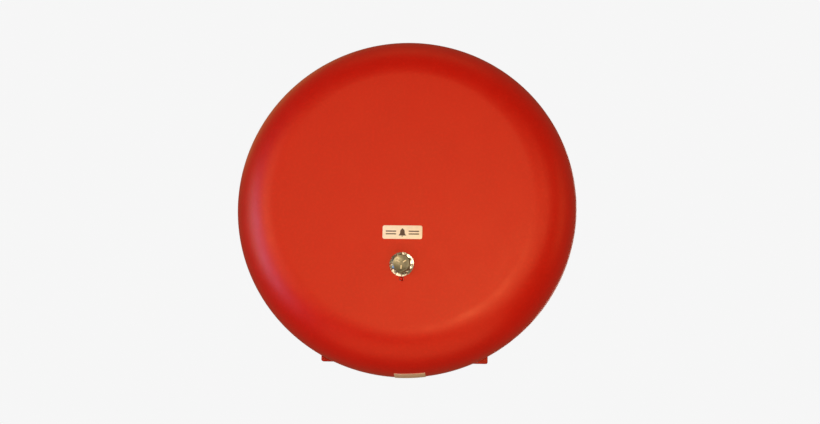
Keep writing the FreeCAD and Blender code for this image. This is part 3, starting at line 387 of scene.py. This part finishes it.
def bridge(mesh, first, second):
    """Faces between two rings of vertices, either of which may be a single point."""
    count = max(len(first), len(second))
    if count == 1:
        return
    for i in range(count):
        corners = [first[i % len(first)], first[(i + 1) % len(first)],
                   second[(i + 1) % len(second)], second[i % len(second)]]
        unique = list(dict.fromkeys(corners))
        if len(unique) > 2:
            mesh.faces.new(unique)


def arc(centre, radius, start, end, steps):
    """Points on an arc in profile space, angles in degrees from outward radius towards the face."""
    turns = (math.radians(start + (end - start) * i / steps) for i in range(steps + 1))
    return [(centre[0] + radius * math.cos(turn), centre[1] + radius * math.sin(turn)) for turn in turns]


# ---------------------------------------------------------------- gong

def gong_profile():
    """Outer wall from the middle of the face round to the rim, then the inner wall back."""
    rim_round = GONG_WALL / 2
    bend = (GONG_RADIUS - SHOULDER, FACE_DEPTH - SHOULDER)
    outer = [(0.0, FACE_DEPTH)] + [(bend[0] * i / 8, FACE_DEPTH) for i in range(1, 8)]
    outer += arc(bend, SHOULDER, 90, 0, 40)
    lip = arc((GONG_RADIUS - rim_round, RIM_DEPTH + rim_round), rim_round, 0, -180, 10)
    inner = arc(bend, SHOULDER - GONG_WALL, 0, 90, 40)
    inner += [(bend[0] * i / 8, FACE_DEPTH - GONG_WALL) for i in range(7, 0, -1)]
    return outer + lip + inner + [(0.0, FACE_DEPTH - GONG_WALL)]


def pierce(piece, x, z, radius):
    """Cut a round hole through a piece along the depth."""
    back, front = FACE_DEPTH - 14.5 * MM, FACE_DEPTH + 5.5 * MM
    cutter_mesh = lathe([(0, back), (radius, back), (radius, front), (0, front)], x, z, 64, closed=False)
    data = bpy.data.meshes.new("cutter")
    cutter_mesh.to_mesh(data)
    cutter_mesh.free()
    for material in piece.data.materials:
        data.materials.append(material)
    cutter = bpy.data.objects.new("cutter", data)
    bpy.context.scene.collection.objects.link(cutter)
    cut = piece.modifiers.new("hole", "BOOLEAN")
    cut.operation = "DIFFERENCE"
    cut.solver = "EXACT"
    cut.object = cutter
    apply_modifiers(piece)
    bpy.data.objects.remove(cutter)


def apply_modifiers(piece):
    graph = bpy.context.evaluated_depsgraph_get()
    made = bpy.data.meshes.new_from_object(piece.evaluated_get(graph))
    piece.modifiers.clear()
    piece.data = made


def make_gong():
    mesh = lathe(gong_profile(), GONG_CENTRE.x, GONG_CENTRE.z, 288, closed=False)
    gong = finished("gong_shell", mesh, "red_enamel", "housing", "gong", slot="red_enamel")
    pierce(gong, 0, 0, BOLT_HOLE)
    pin_low, pin_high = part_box("locating_pin")
    pierce(gong, 0, (pin_low.z + pin_high.z) / 2, PIN_HOLE)
    smooth_by_angle(gong)


# ---------------------------------------------------------------- fastening

def make_lock_washer():
    """External tooth washer: a flat ring and a crown of close, twisted teeth."""
    low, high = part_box("lock_washer")
    outer, back, front = (high.x - low.x) / 2, -high.y, -low.y
    thick, middle = (front - back) * 0.5, (front + back) / 2
    root, hole, soft = outer * 0.74, WASHER_HOLE, 0.1 * MM
    mesh = lathe([
        (hole, middle - thick / 2), (root, middle - thick / 2), (root, middle + thick / 2),
        (hole + soft, middle + thick / 2), (hole, middle + thick / 2 - soft),
    ], 0, 0, 120)
    teeth = 12
    half = math.pi / teeth - 0.2 * MM / outer
    for tooth in range(teeth):
        add_tooth(mesh, 2 * math.pi * (tooth + 0.5) / teeth, half, root - 0.3 * MM, outer, thick, middle)
    finished("star_washer", mesh, "zinc_steel", "housing", "lock_washer", slot="zinc_steel")


def add_tooth(mesh, turn, half, inner, outer, thick, middle, lean=0.42 * MM):
    """One tooth of a washer, as a polar patch that twists about its own radial line towards its tip."""
    across, along = 8, 5
    layers = []
    for side in (-1, 1):
        rows = []
        for step in range(along + 1):
            share = step / along
            reach = inner + (outer - inner) * share
            thin = thick / 2 * (1 - 0.3 * share * share)
            row = []
            for i in range(across + 1):
                sway = 2 * i / across - 1
                angle = turn + half * sway
                depth = middle + side * thin + lean * sway * min(1, 1.5 * share)
                row.append(mesh.verts.new((reach * math.cos(angle), -depth, reach * math.sin(angle))))
            rows.append(row)
        layers.append(rows)
    for rows in layers:
        for first, second in zip(rows, rows[1:]):
            for i in range(across):
                mesh.faces.new((first[i], first[i + 1], second[i + 1], second[i]))
    back, front = (outline_of(rows) for rows in layers)
    bridge(mesh, back, front)


def outline_of(rows):
    """The vertices round the edge of a grid of rows."""
    right = [row[-1] for row in rows[1:-1]]
    left = [row[0] for row in reversed(rows[1:-1])]
    return rows[0] + right + rows[-1][::-1] + left


def hexagon_reach(flats, turn):
    """Distance from a hexagon's centre to its edge; vertices point up and down."""
    within = (turn - math.pi / 2) % (math.pi / 3) - math.pi / 6
    return flats / 2 / math.cos(within)


def make_bolt():
    """Hexagon head with a turned chamfer, a dished top and three raised radial lines."""
    low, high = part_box("gong_bolt")
    washer_low, washer_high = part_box("lock_washer")
    flats = high.x - low.x
    seat, top = -washer_low.y, -low.y - 0.3 * MM
    rim = flats / 2 * 0.93
    slope = math.tan(math.radians(30))
    steps = 144
    mesh = bmesh.new()
    soft = 0.25 * MM
    rings = []
    profile = (
        lambda reach: (reach, seat),
        lambda reach: (reach, top - (reach - rim) * slope - soft),
        lambda reach: (reach - soft * 0.35, top - (reach - rim) * slope - soft * 0.2),
        lambda reach: (rim, top),
        lambda reach: (rim - 0.35 * MM, top),
        lambda reach: (rim - 0.75 * MM, top - 0.16 * MM),
    )
    for rule in profile:
        ring = []
        for i in range(steps):
            turn = 2 * math.pi * i / steps
            reach, depth = rule(hexagon_reach(flats, turn))
            ring.append(mesh.verts.new((reach * math.cos(turn), -depth, reach * math.sin(turn))))
        rings.append(ring)
    rings.append([mesh.verts.new((0, -top + 0.16 * MM, 0))])
    for first, second in zip(rings, rings[1:]):
        bridge(mesh, first, second)
    mesh.faces.new(rings[0])
    shank_outline = [(0, -high.y), (SHANK_RADIUS, -high.y), (SHANK_RADIUS, seat), (0, seat)]
    shank = lathe(shank_outline, 0, 0, 48, closed=False)
    join(mesh, shank)
    finished("hex_bolt", mesh, "bolt_steel", "housing", "gong_bolt", slot="zinc_steel")
    lines = bmesh.new()
    for angle in (30, 150, 270):
        add_grade_line(lines, math.radians(angle), 1.3 * MM, 4.3 * MM, 0.5 * MM, top - 0.2 * MM, 0.5 * MM)
    # The raised lines carry the lighter steel as a painted highlight.
    finished("grade_lines", lines, "grade_steel_highlight", "housing", slot="zinc_steel")


def join(mesh, other):
    """Add another bmesh's faces to a bmesh."""
    data = bpy.data.meshes.new("joined")
    other.to_mesh(data)
    other.free()
    mesh.from_mesh(data)
    bpy.data.meshes.remove(data)


def add_grade_line(mesh, turn, start, end, half, base, rise):
    """A low raised bar with sloped sides that points away from the bolt's axis."""
    along = Vector((math.cos(turn), 0, math.sin(turn)))
    across = Vector((-math.sin(turn), 0, math.cos(turn)))
    out = Vector((0, -1, 0))
    foot = [mesh.verts.new(along * a + across * b + out * base)
            for a, b in ((start, -half), (end, -half), (end, half), (start, half))]
    inset = half * 0.45
    crown = [mesh.verts.new(along * a + across * b + out * (base + rise))
             for a, b in ((start + inset, inset - half), (end - inset, inset - half),
                          (end - inset, half - inset), (start + inset, half - inset))]
    bridge(mesh, foot, crown)
    mesh.faces.new(crown)
    mesh.faces.new(foot)


def make_locating_pin():
    low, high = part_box("locating_pin")
    radius, back, front = (high.x - low.x) / 2, -high.y, -low.y
    dome = arc((0, front - radius * 0.8), 1, 0, 90, 8)
    tip = [(radius * r, front - radius * 0.8 + (d - front + radius * 0.8) * radius * 0.8) for r, d in dome]
    mesh = lathe([(0, back), (radius, back)] + tip, 0, (low.z + high.z) / 2, 40, closed=False)
    finished("pin_dome", mesh, "red_enamel", "housing", "locating_pin", slot="red_enamel")


# ---------------------------------------------------------------- labels

def rounded_outline(half_width, half_height, corner, steps=8):
    """Points round a rectangle with rounded corners, in X and Z."""
    points = []
    for sx, sz, start in ((1, 1, 0), (-1, 1, 90), (-1, -1, 180), (1, -1, 270)):
        centre = (sx * (half_width - corner), sz * (half_height - corner))
        points += arc(centre, corner, start, start + 90, steps)
    return points


def plate(half_width, half_height, corner, centre, back, front, soft):
    """A flat plate with rounded corners and a softened front edge."""
    mesh = bmesh.new()
    levels = ((0, back), (0, front - soft), (soft * 0.3, front - soft * 0.3), (soft, front))
    rings = []
    for inset, depth in levels:
        outline = rounded_outline(half_width - inset, half_height - inset, corner - inset * 0.5)
        rings.append([mesh.verts.new((centre.x + x, -depth, centre.z + z)) for x, z in outline])
    for first, second in zip(rings, rings[1:]):
        bridge(mesh, first, second)
    mesh.faces.new(rings[0])
    mesh.faces.new(rings[-1])
    return mesh


def make_name_label():
    """Cream plate that carries a bell sign with two plain rules on each side of it."""
    low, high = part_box("nameplate_label")
    centre = (low + high) / 2
    half_width, half_height = (high.x - low.x) / 2, (high.z - low.z) / 2
    mesh = plate(half_width, half_height, 1.4 * MM, centre, -high.y, -low.y, 0.12 * MM)
    finished("name_plate", mesh, "cream_label", "housing", "nameplate_label", slot="cream_label")
    front = -low.y
    print_front = front + 0.02 * MM
    print_mesh = bmesh.new()
    for side in (-1, 1):
        rule_centre = Vector((centre.x + side * 8.3 * MM, 0, centre.z - 0.3 * MM))
        for rise in (1.0 * MM, -1.0 * MM):
            spot = rule_centre + Vector((0, 0, rise))
            rule = plate(3.8 * MM, 0.42 * MM, 0.3 * MM, spot, front - 0.01 * MM, print_front, 0.005 * MM)
            join(print_mesh, rule)
    add_bell_sign(print_mesh, centre.x, centre.z - 0.2 * MM, 2.9 * MM, print_front)
    finished("label_print", print_mesh, "label_ink", "housing", slot="cream_label")


def add_bell_sign(mesh, x, z, reach, depth):
    """A flat bell shape: domed top, flared mouth and a clapper below it."""
    right = [(0.16, 1.0), (0.2, 0.84), (0.45, 0.66), (0.56, 0.3),
             (0.6, -0.2), (0.72, -0.5), (0.92, -0.66), (0.92, -0.78)]
    outline = right + [(-a, b) for a, b in reversed(right)]
    add_flat(mesh, [(x + a * reach, z + b * reach) for a, b in outline], depth)
    turns = [math.pi * i / 8 for i in range(9)]
    clapper = [(0.24 * math.cos(turn), -0.84 - 0.2 * math.sin(turn)) for turn in turns]
    add_flat(mesh, [(x + a * reach, z + b * reach) for a, b in clapper], depth)


def add_flat(mesh, outline, depth, thick=0.03 * MM):
    """A thin closed prism with the outline given in X and Z."""
    front = [mesh.verts.new((x, -depth, z)) for x, z in outline]
    back = [mesh.verts.new((x, -depth + thick, z)) for x, z in outline]
    bridge(mesh, back, front)
    mesh.faces.new(front)
    mesh.faces.new(back)


# ---------------------------------------------------------------- stage, lights and camera

WARM = (1.0, 0.82, 0.55)
AMBER = (1.0, 0.62, 0.3)
ROOM = (1.0, 0.75, 0.42, 1)
ROOM_STRENGTH = 0.215
BACKDROP = (0.923, 0.923, 0.923, 1)
FLOOR_DROP = 0.95
FLOOR_HALF = 6


def make_floor():
    """A pale floor with a lamp of its own; it throws no light back on to the bell."""
    mesh = bmesh.new()
    bmesh.ops.create_grid(mesh, x_segments=1, y_segments=1, size=FLOOR_HALF)
    data = bpy.data.meshes.new("floor")
    mesh.to_mesh(data)
    mesh.free()
    floor = bpy.data.objects.new("floor", data)
    floor.location.z = GONG_LOW.z - FLOOR_DROP
    bpy.context.scene.collection.objects.link(floor)
    skin = Surface("floor", (0.8, 0.81, 0.83), 0.8)
    skin.shade(skin.noise(0.3, 3), 0.02)
    data.materials.append(skin.material)
    floor.visible_diffuse = False
    floor.visible_glossy = False
    wash = area_light("floor_wash", (0.0, 0.0, 1.0), 2.5, 9.0, 9.0, 240.0, (0.9, 0.95, 1.0))
    only_floor = bpy.data.collections.new("floor_only")
    only_floor.objects.link(floor)
    wash.light_linking.receiver_collection = only_floor


def make_world():
    """A plain pale backdrop for the eye, and a dim warm room for the light that falls on the bell."""
    world = bpy.data.worlds.new("room")
    world.use_nodes = True
    bpy.context.scene.world = world
    tree = world.node_tree
    tree.nodes.clear()
    seen = tree.nodes.new("ShaderNodeBackground")
    seen.inputs["Color"].default_value = BACKDROP
    cast = tree.nodes.new("ShaderNodeBackground")
    cast.inputs["Color"].default_value = ROOM
    cast.inputs["Strength"].default_value = ROOM_STRENGTH
    path = tree.nodes.new("ShaderNodeLightPath")
    mix = tree.nodes.new("ShaderNodeMixShader")
    out = tree.nodes.new("ShaderNodeOutputWorld")
    tree.links.new(path.outputs["Is Camera Ray"], mix.inputs["Fac"])
    tree.links.new(cast.outputs["Background"], mix.inputs[1])
    tree.links.new(seen.outputs["Background"], mix.inputs[2])
    tree.links.new(mix.outputs["Shader"], out.inputs["Surface"])


def area_light(name, towards, distance, width, height, power, colour):
    """A soft panel in a direction from the gong, facing it."""
    data = bpy.data.lights.new(name, "AREA")
    data.shape = "RECTANGLE"
    data.size, data.size_y = width, height
    data.energy = power
    data.color = colour
    lamp = bpy.data.objects.new(name, data)
    direction = Vector(towards).normalized()
    lamp.location = GONG_CENTRE + direction * distance
    lamp.rotation_euler = (-direction).to_track_quat("-Z", "Y").to_euler()
    lamp.visible_camera = False
    bpy.context.scene.collection.objects.link(lamp)
    return lamp


# Name, direction from the gong, distance, width, height, power and colour of each lamp.
LAMPS = (
    ("main_lamp", (-0.07, -0.98, 0.20), 2.4, 0.8, 0.6, 4.7, WARM),
    ("low_lamp", (0.16, -1.0, -0.10), 2.2, 0.5, 0.5, 12.5, WARM),
    ("left_sheet", (-0.6, -0.8, 0.10), 2.4, 1.0, 1.4, 15.4, WARM),
    ("right_sheet", (0.6, -0.8, 0.10), 2.4, 1.0, 1.4, 8.3, WARM),
    ("lower_right", (0.45, -0.85, -0.35), 2.2, 0.5, 0.5, 2.8, WARM),
    ("floor_bounce", (0.05, -0.5, -0.87), 1.0, 1.4, 0.7, 3.2, WARM),
    ("overhead", (0.0, -0.05, 1.0), 2.0, 1.6, 0.6, 1.9, AMBER),
    ("right_edge", (1.0, -0.12, 0.10), 2.0, 0.5, 1.2, 2.7, AMBER),
    ("left_window", (-1.0, -0.45, -0.1), 1.8, 0.6, 1.2, 20.0, (0.14, 0.36, 1.0)),
    ("behind_left", (-0.55, 0.6, 0.55), 1.6, 1.0, 1.0, 1.3, (0.8, 0.7, 0.22)),
    ("back_fill", (0.1, 1.0, 0.12), 2.2, 1.4, 1.0, 12.0, (1.0, 0.9, 0.78)),
    ("left_edge", (-1.0, -0.16, 0.02), 1.6, 0.5, 1.0, 2.48, (0.55, 1.0, 0.7)),
)


def make_lights():
    """Warm lamps in front, a cool window at the left, and weak lamps above, below and behind."""
    for lamp in LAMPS:
        area_light(*lamp)


CAMERA_DISTANCE = 1.0
CAMERA_AZIMUTH = math.radians(3.98)
CAMERA_ELEVATION = math.radians(-11.31)
CAMERA_ROLL = math.radians(1.24)
CAMERA_LENS = 59.4
FRAME_SHIFT = (0.0063, -0.0109)


def make_camera():
    data = bpy.data.cameras.new("camera")
    data.lens = CAMERA_LENS
    data.shift_x, data.shift_y = FRAME_SHIFT
    camera = bpy.data.objects.new("camera", data)
    bpy.context.scene.collection.objects.link(camera)
    back = Vector((
        math.sin(CAMERA_AZIMUTH) * math.cos(CAMERA_ELEVATION),
        -math.cos(CAMERA_AZIMUTH) * math.cos(CAMERA_ELEVATION),
        math.sin(CAMERA_ELEVATION),
    ))
    camera.location = GONG_CENTRE + back * CAMERA_DISTANCE
    level = (-back).to_track_quat("-Z", "Y").to_matrix().to_4x4()
    camera.rotation_euler = (level @ Matrix.Rotation(CAMERA_ROLL, 4, "Z")).to_euler()
    bpy.context.scene.camera = camera


bpy.context.scene.view_settings.view_transform = "Standard"
make_camera()
make_world()
make_lights()
make_floor()
dress_cad_nodes()
make_gong()
make_lock_washer()
make_bolt()
make_locating_pin()
make_name_label()
